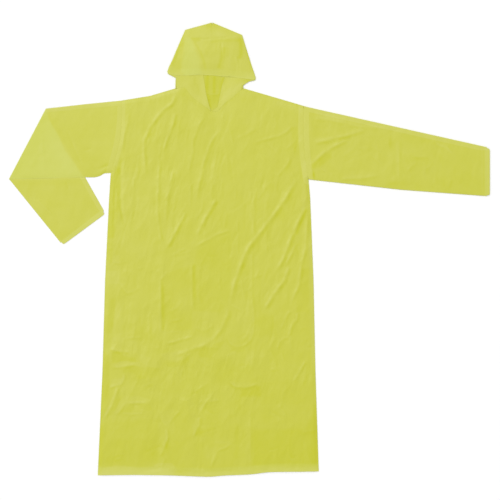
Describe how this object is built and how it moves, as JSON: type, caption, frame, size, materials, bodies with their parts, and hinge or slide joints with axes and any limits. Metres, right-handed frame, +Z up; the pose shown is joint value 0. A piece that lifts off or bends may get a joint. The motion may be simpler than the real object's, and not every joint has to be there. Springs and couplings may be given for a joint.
{
  "type": "kids raincoat",
  "caption": "Child's hooded film raincoat laid flat with its front up: V-neck pullover body, one sleeve spread, the other folded under itself at the elbow, brim turned down.",
  "frame": {"origin": "centre of the outline that the laid-out garment covers, on the surface it lies on", "axes": "+X towards the wearer's left sleeve, +Y from the hem towards the hood, +Z up from the surface"},
  "size_m": [1.1007, 1.0431, 0.0076],
  "materials": {
    "film": "thin milky yellow-green film, satin, a little see-through"
  },
  "bodies": {
    "root": {"front": "film", "back": "film", "left_sleeve": "film", "right_sleeve": "film", "hood_left": "film", "hood_right": "film"}
  },
  "joints": []
}
